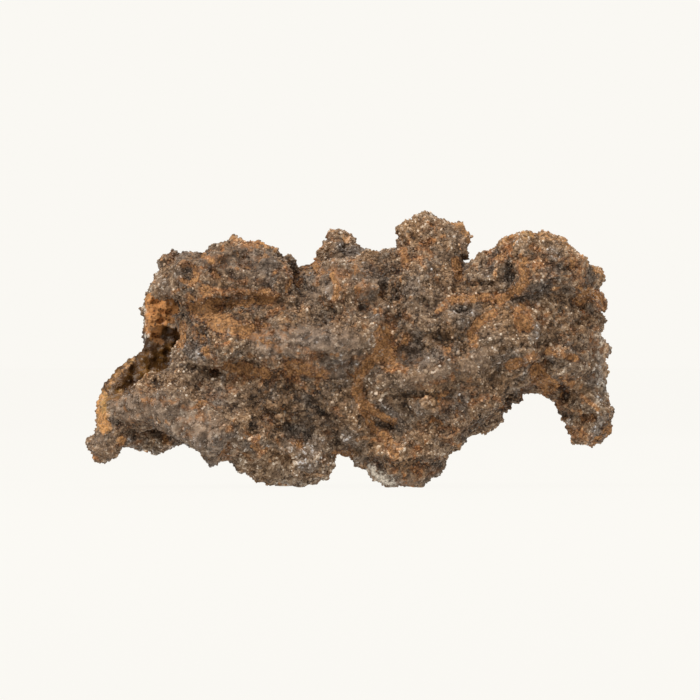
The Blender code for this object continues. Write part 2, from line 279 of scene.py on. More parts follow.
# small pushes of the outline, as across, down, reach, move across and move down, all in steps
nudges = [
    (99, 397, 20, -6, 0), (97, 416, 14, -2, 0), (118, 371, 10, -3, -3), (128, 357, 10, 2, 3),
    (90, 433, 14, 5, 3), (86, 450, 12, 3, 0), (143, 453, 14, 0, -3), (178, 449, 14, 0, -6),
    (202, 459, 11, 0, -5), (230, 465, 13, 0, -7), (244, 479, 12, 2, -4), (333, 476, 10, -3, 0),
    (335, 460, 12, 5, 0), (358, 464, 12, -5, 2), (434, 481, 14, -4, -3), (446, 462, 12, 5, 1),
    (458, 447, 14, 5, 5), (487, 432, 10, 1, 3), (501, 427, 12, -2, -5), (512, 412, 12, -2, -5),
    (523, 400, 11, 5, 2), (534, 396, 16, 0, -6), (553, 402, 10, -2, 4), (562, 422, 10, 4, 0),
    (575, 442, 11, -4, 3), (603, 444, 14, -4, -5), (611, 404, 12, -4, 0), (609, 374, 13, -4, 0),
    (602, 352, 16, 7, 0), (602, 278, 17, 6, -1), (606, 303, 9, 2, 0), (502, 243, 13, -4, -4),
    (522, 233, 13, 0, -4), (473, 248, 15, -8, 0), (463, 224, 12, 5, -5), (428, 218, 26, 0, -3),
    (400, 225, 12, -4, -3), (396, 236, 9, 3, 0), (389, 250, 12, 0, -4), (363, 248, 13, 1, -6),
    (337, 230, 12, 0, -3), (322, 240, 11, 5, 0), (318, 254, 12, -6, -1), (305, 262, 10, 0, 4),
    (293, 262, 13, 5, -5), (283, 252, 10, -2, 4), (265, 243, 12, 0, -4), (247, 237, 13, 0, 5),
    (223, 242, 12, 0, -4), (200, 248, 16, 0, 6), (168, 252, 10, 0, 3), (143, 296, 10, 3, 0),
    (141, 325, 12, 4, 0),
]


def mergedCopy(source):
    shape = bmesh.new()
    shape.from_mesh(source.data)
    bmesh.ops.remove_doubles(shape, verts=shape.verts, dist=0.002 * mm)
    mesh = bpy.data.meshes.new("crust")
    shape.to_mesh(mesh)
    shape.free()
    return mesh


def insideness(places, normals):
    # 1 on the walls of the channel, 0 on the outer skin
    best = np.zeros(len(places))
    knots = np.array(channel)
    for start, end in zip(knots, knots[1:]):
        along = (end - start)[:3] * mm
        t = np.clip(((places - start[:3] * mm) @ along) / (along @ along), 0, 1)
        centre = start[:3] * mm + t[:, None] * along
        radius = (start[3] + t * (end[3] - start[3])) * mm
        towards = centre - places
        distance = np.linalg.norm(towards, axis=1)
        facing = (towards * normals).sum(1) / np.maximum(distance, 1e-9)
        near = 1 - rise(distance, radius + 0.3 * mm, radius + 1.3 * mm)
        best = np.maximum(best, near * rise(facing, -0.05, 0.3))
    # sand covers the walls at the channel's far exit
    return best * (1 - rise(places[:, 0], crustValues["sandyExit"] - 2 * mm, crustValues["sandyExit"]))


def rustOf(places, normals):
    behindRim = rise(-normals[:, 1], -0.3, 0.1) * rise(places[:, 1], -3.5 * mm, -2 * mm)
    return marked(places, rustStrokes, 0.5) * behindRim


def press(places, tree, centre, direction, reach, depth):
    # moves what lies within reach of the centre by up to depth, against the direction
    for place, index, distance in tree.find_range(centre, reach):
        share = 1 - (distance / reach) ** 2
        places[index] -= direction * depth * share * share


def treeOf(places):
    tree = KDTree(len(places))
    for index, place in enumerate(places):
        tree.insert(place, index)
    tree.balance()
    return tree


def skinOf(mesh, places):
    return BVHTree.FromPolygons(
        [tuple(place) for place in places], [tuple(face.vertices) for face in mesh.polygons]
    )


def fromTheFront(skin, across, down):
    x, z = onFront(across, down)
    place, normal, _, _ = skin.ray_cast(Vector((x, -40 * mm, z)), Vector((0, 1, 0)))
    return place, normal


def carve(mesh):
    # crevices, ledges, pits and knobs, on the mesh's own points
    values = crustValues
    dice = np.random.default_rng(values["seed"])
    places, normals = pointsOf(mesh), normalsOf(mesh)
    inner = insideness(places, normals)
    front = rise(-normals[:, 1], -0.2, 0.35) * (1 - inner) * (1 - rise(places[:, 1], 1 * mm, 3 * mm))
    moved = places.copy()
    for halfWidth, depth, line in creases:
        away = stepsFrom(places, line) / (halfWidth * values["creaseWidening"])
        share = np.clip(1 - away * away, 0, 1) ** 2
        moved -= normals * (share * front * depth * mm)[:, None]
    tree = treeOf(places)
    for count, reach, depth in (
        (values["knobs"], values["knobReach"], -values["knobHeight"]),
        (values["pits"], values["pitReach"], values["pitDepth"]),
    ):
        for index in dice.integers(0, len(places), count):
            size = dice.uniform(*reach)
            press(moved, tree, places[index], normals[index], size, depth * size)
    skin = skinOf(mesh, places)
    for across, down, reach, depth in namedPits:
        place, normal = fromTheFront(skin, across, down)
        if place:
            reach, depth = reach * values["spotWidening"] * mm, depth * values["namedPitDepth"] * mm
            press(moved, tree, place, np.array(normal), reach, depth)
    for x, y, z, reach, height in exitLumps:
        place, index, _ = tree.find((x * mm, y * mm, z * mm))
        press(moved, tree, place, normals[index], reach * mm, -height * mm)
    for across, down, reach, moveAcross, moveDown in nudges:
        share = np.clip(1 - (stepsFrom(places, [(across, down)]) / reach) ** 2, 0, 1) ** 2
        moved[:, 0] += share * moveAcross * gridStep
        moved[:, 2] -= share * moveDown * gridStep
    setPoints(mesh, moved)


def blowBubbles(mesh):
    # the channel's walls are smoother than the crust, with froth and round bubbles in the glass
    values = crustValues
    dice = np.random.default_rng(values["seed"] + 1)
    places, normals = pointsOf(mesh), normalsOf(mesh)
    inner = insideness(places, normals)
    smooth = spread(places, edgesOf(mesh), values["wallSmoothing"])
    places += (smooth - places) * inner[:, None] * values["wallSmoothingShare"]
    mouth = places[:, 0] < values["mouthEnd"]
    skin, tree = skinOf(mesh, places), treeOf(places)
    flat = places.copy()
    frothy, glassy = rustOf(places, normals) > 0.4, (inner > 0.8) & mouth
    for here, count, reach, height in (
        (frothy, values["frothPits"], values["frothReach"], -values["frothDepth"]),
        (glassy, values["beads"], values["beadReach"], values["beadHeight"]),
    ):
        for index in dice.choice(np.flatnonzero(here), count):
            size = dice.uniform(*reach)
            press(places, tree, flat[index], normals[index], size, -height * size)
    for across, down, reach, height in bubbles:
        place, normal = fromTheFront(skin, across, down)
        if place:
            press(places, tree, place, np.array(normal), reach * values["spotWidening"] * mm, -height * mm)
    places[:, 2] = np.maximum(places[:, 2], 0.0)
    setPoints(mesh, places)


def makeCrust(source):
    values = crustValues
    crust = linked("crust", mergedCopy(source))
    addVoxels(crust, values["coarseVoxel"])
    addSmoothing(crust, values["facetSmoothing"])
    addRelief(crust, "lumps", "CLOUDS", values["lumpSize"], values["lumpHeight"])
    addRelief(crust, "crumbs", "CLOUDS", values["crumbSize"], values["crumbHeight"])
    mesh = finished(crust, "crust")
    carve(mesh)
    crust = linked("crust", mesh)
    addVoxels(crust, values["fineVoxel"])
    addRelief(crust, "clods", "VORONOI", values["clodSize"], -values["clodHeight"], values["clodMiddle"])
    addRelief(crust, "grit", "CLOUDS", values["gritSize"], values["gritHeight"], depth=1)
    mesh = finished(crust, "crust")
    blowBubbles(mesh)
    mesh.shade_smooth()
    return mesh


crustMesh = makeCrust(node)
print("crust:", len(crustMesh.polygons), "faces")


# rust-coloured clay on the front, as half width in steps, strength, and the line
clayStrokes = [
    (9, 0.9, [(200, 308), (222, 322), (246, 330)]), (5, 0.7, [(190, 298), (202, 310)]),
    (4, 0.7, [(212, 302), (240, 303), (272, 303)]), (4, 0.6, [(246, 334), (264, 340), (280, 350)]),
    (5, 0.8, [(206, 291), (232, 293), (256, 294), (276, 296)]),
    (3, 0.8, [(187, 263), (196, 268), (197, 280), (189, 286), (182, 279)]), (3, 1.0, [(205, 256)]),
    (3, 0.9, [(213, 262)]), (3, 1.0, [(258, 241), (269, 245)]),
    (3, 0.5, [(215, 276), (236, 283), (262, 281), (276, 273)]),
    (3, 0.5, [(284, 262), (291, 276), (288, 292)]), (4, 0.9, [(314, 263), (322, 272), (316, 281)]),
    (3, 0.6, [(332, 276), (338, 290), (334, 301)]), (3, 0.9, [(184, 324), (183, 346)]),
    (2.5, 0.9, [(166, 357)]), (2.5, 0.9, [(159, 371)]), (2.5, 0.8, [(183, 330), (184, 344)]),
    (2.5, 0.8, [(175, 303), (178, 318)]), (4, 0.6, [(206, 350), (226, 366), (240, 371)]),
    (5, 0.85, [(244, 367), (268, 374)]), (6, 0.8, [(292, 366), (308, 371), (326, 374)]),
    (3, 0.6, [(150, 399), (168, 403), (184, 398)]), (3, 0.6, [(190, 408), (206, 402)]),
    (4, 0.5, [(222, 424), (232, 430)]), (5, 0.6, [(250, 440), (262, 452)]),
    (5, 0.5, [(285, 436), (300, 446)]), (5, 0.5, [(318, 420), (328, 436)]),
    (9, 0.85, [(379, 334), (385, 350), (388, 364)]),
    (5, 1.3, [(370, 362), (359, 375), (357, 391), (361, 402)]),
    (4, 1.4, [(362, 402), (373, 411), (384, 417), (394, 421)]),
    (4, 1.3, [(362, 404), (367, 417), (374, 428)]), (4, 0.75, [(390, 365), (405, 371)]),
    (4, 1.1, [(382, 434), (391, 443), (395, 455)]), (4, 0.5, [(376, 314), (380, 330)]),
    (4, 0.6, [(406, 314), (413, 325), (405, 341)]),
    (5, 0.95, [(462, 301), (480, 297), (500, 299), (516, 290), (525, 283)]),
    (5, 0.8, [(521, 262), (524, 281)]), (8, 1.15, [(518, 313), (525, 325)]),
    (4, 1.2, [(493, 314), (479, 321), (471, 333), (474, 346)]),
    (4, 0.75, [(438, 312), (450, 301), (463, 297)]), (4, 0.85, [(404, 252), (408, 269)]),
    (4.5, 1.0, [(456, 260), (458, 275)]), (5, 1.1, [(508, 366), (522, 360), (532, 356)]),
    (8, 1.15, [(536, 373), (548, 385)]), (4, 0.95, [(548, 352), (573, 358)]),
    (4, 0.6, [(556, 372), (570, 383)]), (3, 0.6, [(470, 403), (490, 396), (501, 400)]),
    (3, 0.6, [(414, 400), (430, 397), (446, 392)]), (3, 0.95, [(581, 396), (597, 408)]),
    (6, 0.6, [(566, 426), (590, 440), (608, 432)]), (6, 0.8, [(577, 300), (592, 296), (601, 307)]),
    (5, 0.8, [(337, 452), (350, 456)]), (4, 1.0, [(123, 440)]), (4, 0.5, [(426, 336), (445, 350)]),
    (4, 0.5, [(430, 383), (448, 378)]), (3, 0.5, [(530, 246), (552, 256), (572, 262)]),
    (3, 0.5, [(545, 280), (566, 284)]), (3, 0.5, [(486, 252), (500, 258)]),
    (3, 0.45, [(420, 262), (436, 280)]), (4, 0.5, [(262, 400), (276, 404)]),
    (4, 0.5, [(336, 408), (346, 424)]), (4, 0.5, [(540, 400), (553, 407)]),
]

# where the front is painted darker or paler, as half width in steps, strength (dark below 0), and the line:
# painted shade in the creases, pits and the recess behind the lower right lip, painted light on the tops of
# the lobes, and the sand's own darker and paler stretches
shadeStrokes = [
    (10, -0.5, [(408, 355)]), (9, -0.4, [(440, 340)]), (12, -0.35, [(265, 395), (290, 385), (330, 392)]),
    (12, -0.25, [(265, 420), (320, 415)]), (9, -1.0, [(480, 432), (496, 425), (508, 413), (518, 402)]),
    (20, -0.35, [(185, 255), (230, 268), (275, 270)]), (16, -0.65, [(205, 315), (240, 325)]),
    (22, -0.15, [(415, 315), (445, 345)]), (22, 0.12, [(490, 350), (545, 345)]),
    (18, 0.2, [(585, 405), (592, 430)]), (16, -0.25, [(385, 462), (425, 462)]),
    (12, -0.25, [(290, 325), (340, 330)]), (14, 0.4, [(240, 450), (280, 462), (320, 458)]),
    (14, 0.35, [(375, 340), (362, 375), (380, 410)]), (12, 0.3, [(362, 440), (400, 452), (430, 445)]),
    (8, -0.1, [(214, 303), (250, 305), (290, 306)]), (5, -1.1, [(562, 387), (564, 395)]),
    (6, -0.5, [(370, 272), (398, 272)]), (6, -0.5, [(459, 255), (459, 285)]),
    (7, -0.5, [(376, 423), (392, 428)]), (6, -0.3, [(126, 424), (150, 430), (175, 436)]),
    (9, 0.35, [(122, 444), (158, 447)]), (10, -0.4, [(295, 270), (302, 290)]), (8, -0.35, [(365, 305)]),
    (8, -0.3, [(196, 345)]), (6, -0.3, [(184, 312)]), (12, 0.2, [(320, 300), (345, 290), (350, 270)]),
    (14, 0.15, [(240, 345), (290, 342), (340, 345)]), (14, 0.25, [(160, 425), (200, 435), (220, 455)]),
    (10, 0.2, [(420, 225), (450, 228), (462, 245)]),
    (9, 0.25, [(488, 245), (510, 238), (540, 240), (575, 252), (598, 270)]),
    (8, 0.2, [(410, 378), (440, 372), (480, 358)]), (8, 0.3, [(602, 335), (604, 370), (602, 400)]),
    (8, 0.25, [(160, 283), (172, 300)]), (9, 0.2, [(540, 305), (552, 310)]),
    (10, 0.15, [(230, 250), (250, 246)]), (6, 0.2, [(332, 240), (345, 242)]),
]

# where pale dust lies on the folds, as half width in steps, strength, and the line
dustStrokes = [
    (15, 0.9, [(120, 402), (160, 410), (200, 425), (222, 445)]),
    (13, 0.9, [(262, 343), (300, 340), (350, 345)]), (14, 0.7, [(322, 290), (345, 272), (362, 285)]),
    (9, 0.5, [(160, 285), (168, 296)]), (8, 0.4, [(450, 225), (465, 240)]),
    (10, 0.5, [(600, 340), (604, 380)]), (9, 0.5, [(100, 440), (112, 452)]),
    (8, 0.5, [(300, 366), (340, 372)]), (10, 0.5, [(398, 352), (420, 362)]),
    (8, 0.5, [(405, 382), (440, 376), (480, 360)]), (12, 0.5, [(188, 258), (226, 256), (262, 262)]),
    (9, 0.45, [(400, 482), (432, 478)]),
]

# broken amber glass at the mouth's edge, and pale milky glass, as half width in steps, strength, and line;
# the weaker amber lines along the tops of the lobes and the right edge are painted light, lit amber rims
amberGlassAndLitRimStrokes = [
    (6, 1.0, [(102, 397), (102, 412), (106, 427)]), (3.5, 0.7, [(120, 391)]), (3.5, 0.75, [(122, 440)]),
    (3, 0.4, [(106, 388), (118, 374), (132, 360)]), (3, 0.7, [(598, 298)]),
    # amber lines along the top edges: painted highlight on lit rims
    (5, 0.4, [(494, 243), (512, 234), (540, 235), (562, 240), (584, 256), (600, 276)]),
    (5, 0.4, [(450, 219), (464, 228), (470, 240)]), (4, 0.35, [(334, 232), (348, 240)]),
    (4, 0.4, [(262, 243), (276, 250)]), (4, 0.4, [(605, 345), (606, 372)]),
    (4, 0.35, [(232, 237), (250, 240)]), (3, 0.5, [(147, 298)]),
]
paleStrokes = [
    (4, 0.5, [(146, 290)]), (3, 0.5, [(143, 308)]), (3, 0.5, [(143, 322)]), (3.5, 0.5, [(146, 335)]),
    (6, 0.75, [(373, 470), (382, 477), (390, 482)]), (5, 0.3, [(278, 484), (300, 486), (324, 480)]),
    (5, 0.3, [(601, 336), (603, 366), (601, 398)]),
]


# over how many rounds of neighbours the skin is judged, and how soft the marks' edges are
skinValues = {
    "wideRounds": 40,
    "narrowRounds": 7,
    "upRounds": 6,
    "insideRounds": 2,
    "softDust": 0.9,
    "softClay": 0.6,
    "softShade": 0.9,
    "softAmber": 0.8,
    "softPale": 0.7,
}


def attributesOf(mesh):
    # what the skin is like at each point, kept on the mesh for its material
    values = skinValues
    places, normals, edges = pointsOf(mesh), normalsOf(mesh), edgesOf(mesh)
    wide, narrow = spread(places, edges, values["wideRounds"]), spread(places, edges, values["narrowRounds"])
    wideSunk = ((wide - places) * normals).sum(1) / mm
    narrowSunk = ((narrow - places) * normals).sum(1) / mm
    inner = spread(insideness(places, normals)[:, None], edges, values["insideRounds"])[:, 0]
    front = rise(-normals[:, 1], -0.45, 0.0) * (1 - rise(places[:, 1], 2 * mm, 4 * mm))
    frontAndEnds = rise(-normals[:, 1] + abs(normals[:, 0]), -0.3, 0.3)
    rust = rustOf(places, normals)
    inner = np.maximum(inner, rise(rust, 0.2, 0.6))
    found = {
        "inside": inner,
        "rust": rust,
        "dust": marked(places, dustStrokes, values["softDust"]) * front,
        "clay": marked(places, clayStrokes, values["softClay"]) * front,
        "shade": marked(places, shadeStrokes, values["softShade"]) * front,
        "amber": marked(places, amberGlassAndLitRimStrokes, values["softAmber"]) * frontAndEnds,
        "pale": marked(places, paleStrokes, values["softPale"]) * frontAndEnds,
        # up, the smoothed normals' height, carries painted light onto the top-facing skin; sunk and dip, how
        # far the skin lies below its smoothed self, carry painted shade in hollows and small dips, and sunk
        # also settles clay there
        "up": np.clip(spread(normals, edges, values["upRounds"])[:, 2], 0, 1),
        "sunk": np.clip(wideSunk, -1, 1),
        "dip": np.clip(narrowSunk * 4, -1, 1),
    }
    for name, share in found.items():
        setValues(mesh, name, share)
    return found


looks = attributesOf(crustMesh)
print("marks on the skin:", ", ".join(looks))


# sand grains on the outer skin
grainValues = {
    "candidates": 260000,
    "cell": 0.36 * mm,
    "cellRow": 4096,
    "size": 0.165 * mm,
    "sizeSpread": 0.26,
    "sizeLimits": (0.1 * mm, 0.34 * mm),
    "sink": 0.5,
    "mostInside": 0.35,
    "lowest": 0.1 * mm,
    "amberBare": 1.5,
    "milkBare": 0.7,
    "clayBare": 0.7,
    "dustBare": 0.45,
    "variants": 30,
    "lumpiness": 0.2,
    "perPiece": 9900,
    "mostGrains": 26800,
    "seed": 5,
}

# a few larger pale pebbles on the front, as across, down, radius in mm and tone
pebbles = [
    (281, 415, 0.40, 0.93), (316, 443, 0.40, 0.80), (425, 371, 0.36, 0.93),
    (383, 328, 0.34, 0.88), (457, 353, 0.38, 0.96), (537, 305, 0.38, 0.95),
    (543, 303, 0.30, 0.90), (379, 403, 0.34, 0.85), (550, 345, 0.30, 0.95),
    (272, 390, 0.28, 0.95), (401, 386, 0.26, 0.9), (296, 426, 0.26, 0.9),
    (343, 318, 0.26, 0.9), (442, 306, 0.26, 0.9), (352, 402, 0.26, 0.88),
]


def grainShapes(dice):
    shapes = []
    for _ in range(grainValues["variants"]):
        shape = bmesh.new()
        bmesh.ops.create_icosphere(shape, subdivisions=1, radius=1)
        flatness = (1, dice.uniform(0.65, 0.95), dice.uniform(0.55, 0.85))
        bmesh.ops.scale(shape, verts=shape.verts, vec=flatness)
        for vertex in shape.verts:
            vertex.co *= 1 + dice.uniform(-1, 1) * grainValues["lumpiness"]
        shape.verts.ensure_lookup_table()
        corners = np.array([tuple(vertex.co) for vertex in shape.verts])
        faces = np.array([[vertex.index for vertex in face.verts] for face in shape.faces])
        shapes.append((corners, faces))
        shape.free()
    return shapes


def turns(count, dice):
    # random turns, as matrices
    q = dice.normal(size=(count, 4))
    q /= np.linalg.norm(q, axis=1)[:, None]
    w, x, y, z = q.T
    return np.stack([
        1 - 2 * (y * y + z * z), 2 * (x * y - z * w), 2 * (x * z + y * w),
        2 * (x * y + z * w), 1 - 2 * (x * x + z * z), 2 * (y * z - x * w),
        2 * (x * z - y * w), 2 * (y * z + x * w), 1 - 2 * (x * x + y * y),
    ], 1).reshape(-1, 3, 3)


def spotsOn(mesh, count, dice):
    # random spots on the skin: place, normal, and what the skin is like there
    mesh.calc_loop_triangles()
    corners = np.empty(len(mesh.loop_triangles) * 3, np.int32)
    mesh.loop_triangles.foreach_get("vertices", corners)
    corners = corners.reshape(-1, 3)
    places, normals = pointsOf(mesh), normalsOf(mesh)
    a, b, c = (places[corners[:, k]] for k in range(3))
    areas = np.linalg.norm(np.cross(b - a, c - a), axis=1)
    print("skin area in square mm:", round(float(areas.sum()) / 2 / mm / mm))
    chosen = dice.choice(len(corners), count, p=areas / areas.sum())
    u, v = dice.random(count), dice.random(count)
    flip = u + v > 1
    u[flip], v[flip] = 1 - u[flip], 1 - v[flip]
    weights = np.stack([1 - u - v, u, v], 1)
    corners = corners[chosen]

    def blend(values):
        return (values[corners] * weights[..., None]).sum(1)

    normal = blend(normals)
    normal /= np.linalg.norm(normal, axis=1)[:, None]
    names = list(looks)
    extra = blend(np.stack([looks[name] for name in names], 1))
    return blend(places), normal, {name: extra[:, k] for k, name in enumerate(names)}


def joinedGrains(name, spots, normals, radii, layers, shapes, dice):
    # one mesh from arrays, with each grain turned at random and partly sunk in the skin
    count = len(spots)
    kinds = dice.integers(0, len(shapes), count)
    templates = np.array([shape[0] for shape in shapes])
    faces = np.array([shape[1] for shape in shapes])
    corners = np.einsum("nij,nvj->nvi", turns(count, dice), templates[kinds]) * radii[:, None, None]
    corners += spots[:, None] + normals[:, None] * (radii * (0.5 - grainValues["sink"]))[:, None, None]
    corners[:, :, 2] = np.maximum(corners[:, :, 2], 0)
    each = corners.shape[1]
    loops = (faces[kinds] + (np.arange(count) * each)[:, None, None]).reshape(-1, 3)
    mesh = bpy.data.meshes.new(name)
    mesh.vertices.add(count * each)
    mesh.vertices.foreach_set("co", corners.astype(np.float32).ravel())
    mesh.loops.add(loops.size)
    mesh.loops.foreach_set("vertex_index", loops.astype(np.int32).ravel())
    mesh.polygons.add(len(loops))
    mesh.polygons.foreach_set("loop_start", np.arange(0, loops.size, 3, dtype=np.int32))
    mesh.update(calc_edges=True)
    mesh.validate()
    for layer, values in layers.items():
        setValues(mesh, layer, np.repeat(values, each))
    cellUvs(mesh, count, faces.shape[1])
    mesh.shade_smooth()
    return linked(name, mesh)


def cellUvs(mesh, count, facesEach):
    # every grain has one colour, so it takes one cell of the map
    across = math.ceil(math.sqrt(count))
    number = np.arange(count)
    origin = np.stack([number % across, number // across], 1) / across
    corner = np.array([(0.2, 0.2), (0.8, 0.2), (0.5, 0.8)]) / across
    uv = origin[:, None, None] + np.broadcast_to(corner, (count, facesEach, 3, 2))
    layer = mesh.uv_layers.new(name="OFBake")
    layer.data.foreach_set("uv", uv.astype(np.float32).ravel())


def pebblesOn(mesh):
    # the placed pebbles, as place, normal, radius and tone
    skin = skinOf(mesh, pointsOf(mesh))
    found = []
    for across, down, radius, tone in pebbles:
        place, normal = fromTheFront(skin, across, down)
        if place:
            found.append((*place, *normal, radius * mm, tone))
    return np.array(found)


def sieved(spots, here, dice):
    # the spots that take a grain, in random order: fewer on glass, clay and dust, and one to a cell
    values = grainValues
    keep = (here["inside"] < values["mostInside"]) & (spots[:, 2] > values["lowest"])
    glassy = np.maximum(here["amber"] * values["amberBare"], here["pale"] * values["milkBare"])
    for share in (
        np.clip(glassy - 0.25, 0, 0.97),
        np.clip(here["clay"] - 0.3, 0, 1) * values["clayBare"],
        here["dust"] * values["dustBare"],
    ):
        keep &= dice.random(len(spots)) > share
    number = np.flatnonzero(keep)
    cells = np.floor(spots[number] / values["cell"]).astype(np.int64)
    keys = (cells[:, 0] * values["cellRow"] + cells[:, 1]) * values["cellRow"] + cells[:, 2]
    _, first = np.unique(keys, return_index=True)
    return number[dice.permutation(first)]


def makeGrains(mesh):
    values = grainValues
    dice = np.random.default_rng(values["seed"])
    spots, normals, here = spotsOn(mesh, values["candidates"], dice)
    number, placed = sieved(spots, here, dice), pebblesOn(mesh)
    room = values["mostGrains"] - len(placed)
    print("grains that fit:", len(number), "grains kept:", min(room, len(number)))
    number = number[:room]
    radii = values["size"] * np.exp(dice.normal(size=len(number)) * values["sizeSpread"])
    radii = np.concatenate([placed[:, 6], np.clip(radii, *values["sizeLimits"])])
    names, none = ("clay", "shade", "sunk", "up", "amber", "pale", "dust"), np.zeros(len(placed))
    layers = {name: np.concatenate([none, here[name][number]]) for name in names}
    layers["tone"] = np.concatenate([placed[:, 7], dice.random(len(number))])
    spots = np.concatenate([placed[:, :3], spots[number]])
    normals = np.concatenate([placed[:, 3:6], normals[number]])
    shapes = grainShapes(dice)
    made = []
    for piece, start in enumerate(range(0, len(spots), values["perPiece"])):
        part = slice(start, start + values["perPiece"])
        made.append(joinedGrains(
            "sand_grains_" + "abcdefgh"[piece], spots[part], normals[part], radii[part],
            {name: layer[part] for name, layer in layers.items()}, shapes, dice,
        ))
    return made


grains = makeGrains(crustMesh)


def splitCrust(mesh):
    # the crust in three lengths, so that none has too many faces
    low, high = crustValues["cuts"]
    made = []
    for name, start, end in (("mouth", -1, low), ("middle", low, high), ("arch", high, 1)):
        shape = bmesh.new()
        shape.from_mesh(mesh)
        away = [face for face in shape.faces if not start <= face.calc_center_median().x < end]
        bmesh.ops.delete(shape, geom=away, context="FACES")
        part = bpy.data.meshes.new("crust_" + name)
        shape.to_mesh(part)
        shape.free()
        made.append(linked("fused_sand_crust_" + name, part))
        print(name, "triangles:", sum(len(face.vertices) - 2 for face in part.polygons))
    return made


crusts = splitCrust(crustMesh)


# small helpers for the materials

def newGroup(name, inputs, outputs):
    # the inputs come with their usual values, or None for a colour
    group = bpy.data.node_groups.new(name, "ShaderNodeTree")
    for socket, usual in inputs.items():
        kind = "NodeSocketColor" if usual is None else "NodeSocketFloat"
        made = group.interface.new_socket(socket, in_out="INPUT", socket_type=kind)
        if usual is not None:
            made.default_value = usual
    for socket in outputs:
        kind = "NodeSocketColor" if socket == "Color" else "NodeSocketFloat"
        group.interface.new_socket(socket, in_out="OUTPUT", socket_type=kind)
    return group, group.nodes.new("NodeGroupInput").outputs, group.nodes.new("NodeGroupOutput").inputs


def newMaterial(name):
    material = bpy.data.materials.new(name)
    material.use_nodes = True
    return material, material.node_tree, material.node_tree.nodes["Principled BSDF"]


def put(tree, kind, ins=(), **settings):
    # a node with its settings, and its inputs given as values or as sockets to link
    made = tree.nodes.new(kind)
    for key, value in settings.items():
        setattr(made, key, value)
    for key, value in dict(ins).items():
        if isinstance(value, bpy.types.NodeSocket):
            tree.links.new(value, made.inputs[key])
        else:
            made.inputs[key].default_value = value
    return made


def useGroup(tree, group, ins):
    return put(tree, "ShaderNodeGroup", ins, node_tree=group).outputs


def maths(tree, operation, *values):
    return put(tree, "ShaderNodeMath", dict(enumerate(values)), operation=operation).outputs[0]


def added(tree, *values):
    total = values[0]
    for value in values[1:]:
        total = maths(tree, "ADD", total, value)
    return total


def times(tree, first, second):
    return maths(tree, "MULTIPLY", first, second)


def mixed(tree, share, first, second, blend="MIX"):
    ins = {0: share, 6: first, 7: second}  # the Mix node's factor and its two colours
    return put(tree, "ShaderNodeMix", ins, data_type="RGBA", blend_type=blend).outputs[2]


def ramp(tree, factor, stops):
    made = put(tree, "ShaderNodeValToRGB", {0: factor})
    elements = made.color_ramp.elements
    while len(elements) > 1:
        elements.remove(elements[-1])
    elements[0].position, elements[0].color = stops[0][0], (*stops[0][1], 1)
    for position, colour in stops[1:]:
        elements.new(position).color = (*colour, 1)
    return made.outputs[0]


def ranged(tree, value, fromLow, fromHigh, toLow=0.0, toHigh=1.0, kind="SMOOTHSTEP"):
    ins = {0: value, 1: fromLow, 2: fromHigh, 3: toLow, 4: toHigh}
    return put(tree, "ShaderNodeMapRange", ins, interpolation_type=kind).outputs[0]


def attribute(tree, name):
    return put(tree, "ShaderNodeAttribute", attribute_name=name).outputs["Fac"]


def ownPlace(tree):
    return put(tree, "ShaderNodeTexCoord").outputs["Object"]


def cellsOf(tree, where, scale, **settings):
    return put(tree, "ShaderNodeTexVoronoi", {"Vector": where, "Scale": scale}, **settings).outputs


def noiseOf(tree, where, name):
    scale, detail, rough = patterns[name]
    ins = {"Vector": where, "Scale": scale, "Detail": detail, "Roughness": rough}
    return put(tree, "ShaderNodeTexNoise", ins).outputs[0]


# the cloudy patterns, as scale, detail and roughness
patterns = {
    "warmStretches": (190.0, 4.0, 0.6),
    "coolStretches": (290.0, 3.0, 0.6),
    "lights": (520.0, 3.0, 0.6),
    "dustBlots": (1100.0, 2.0, 0.5),
    "clayWide": (130.0, 3.0, 0.55),
    "clayBroad": (380.0, 3.0, 0.55),
    "clayFine": (1700.0, 0.8, 0.5),
    "clayFlecks": (900.0, 1.5, 0.5),
    "clayMottle": (4200.0, 2.0, 0.6),
    "honey": (520.0, 3.0, 0.6),
    "glassClouds": (900.0, 3.0, 0.6),
    "glassBreaks": (1500.0, 3.0, 0.6),
    "glassSpecks": (2900.0, 3.0, 0.65),
    "wallClouds": (420.0, 4.0, 0.6),
    "wallDepths": (620.0, 3.0, 0.55),
    "wallMottle": (1300.0, 4.0, 0.7),
    "grit": (6000.0, 2.0, 0.55),
}

colours = {
    "greySand": [
        (0.00, (0.026, 0.014, 0.007)), (0.20, (0.068, 0.041, 0.023)), (0.50, (0.153, 0.098, 0.060)),
        (0.80, (0.266, 0.188, 0.121)), (0.93, (0.410, 0.322, 0.242)), (1.00, (0.620, 0.525, 0.430)),
    ],
    "tanSand": [
        (0.00, (0.033, 0.015, 0.006)), (0.20, (0.086, 0.045, 0.018)), (0.50, (0.196, 0.105, 0.047)),
        (0.80, (0.340, 0.198, 0.098)), (0.93, (0.470, 0.318, 0.194)), (1.00, (0.640, 0.500, 0.360)),
    ],
    "slate": (0.760, 0.870, 1.080, 1),
    "darkDust": (0.090, 0.062, 0.044, 1),
    "paleDust": (0.325, 0.232, 0.166, 1),
    "stain": (1.320, 0.830, 0.420, 1),
    "fleck": (1.480, 1.050, 0.620, 1),
    "clay": (0.190, 0.088, 0.032, 1),
    "paleClay": (0.345, 0.172, 0.066, 1),
    "wall": (0.550, 0.245, 0.080, 1),
    "wallDark": (0.130, 0.052, 0.015, 1),
    "glass": (0.042, 0.017, 0.005, 1),
    "amber": (0.215, 0.098, 0.021, 1),
    "brokenAmber": (0.480, 0.235, 0.080, 1),
    "brokenHoney": (0.360, 0.200, 0.062, 1),
    "milk": (0.640, 0.560, 0.460, 1),
}

